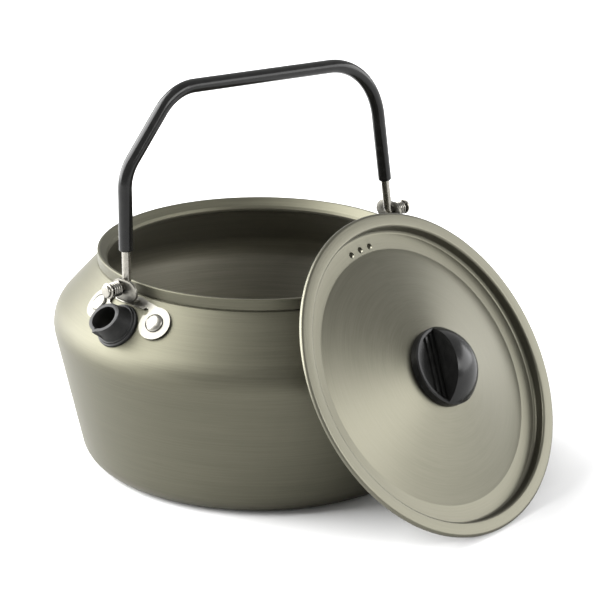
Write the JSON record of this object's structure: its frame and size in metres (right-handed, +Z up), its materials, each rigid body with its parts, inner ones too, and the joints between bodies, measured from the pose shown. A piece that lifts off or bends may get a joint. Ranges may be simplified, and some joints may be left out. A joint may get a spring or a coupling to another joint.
{
  "type": "camping kettle pot",
  "caption": "Squat spun kettle pot with a shouldered body, short pouring spout, folding wire bail with a grip sleeve, and a loose vented lid leaning on its rim.",
  "frame": {"origin": "centre of the pot's flat base, on the surface it stands on", "axes": "-Z out of the base, so +Z up; +X towards the spout; +Y towards the side that the lid leans on"},
  "size_m": [0.1682, 0.2038, 0.1584],
  "materials": {
    "pot_alloy": "satin hard anodised",
    "lid_alloy": "satin hard anodised",
    "spout_rubber": "satin",
    "bracket_steel": "polished",
    "rivet_steel": "polished",
    "wire_steel": "satin",
    "spring_steel": "satin",
    "sleeve_plastic": "gloss",
    "knob_plastic": "gloss",
    "insert_brass": "plain"
  },
  "bodies": {
    "pot": {"pot_body": "pot_alloy", "spout_nozzle": "spout_rubber", "front_bracket": "bracket_steel", "rear_bracket": "bracket_steel", "front_rivet_left": "rivet_steel", "front_rivet_right": "rivet_steel", "rear_rivet_left": "rivet_steel", "rear_rivet_right": "rivet_steel"},
    "bail": {"bail_wire": "wire_steel", "bail_sleeve": "sleeve_plastic", "front_spring": "spring_steel", "rear_spring": "spring_steel", "front_pin_washer": "wire_steel", "rear_pin_washer": "wire_steel"},
    "lid": {"lid_plate": "lid_alloy", "lid_knob": "knob_plastic", "knob_insert": "insert_brass", "knob_screw": "rivet_steel", "knob_washer": "rivet_steel"}
  },
  "joints": [
    {"name": "bail_hinge", "type": "hinge", "parent": "pot", "child": "bail", "pos_m": [0, 0, 0.084], "axis": [1, 0, 0], "range_deg": [-72, 94]},
    {"name": "lid_lift", "type": "slide", "parent": "pot", "child": "lid", "axis": [0, 0, 1], "range_m": [0, 0.15]}
  ]
}
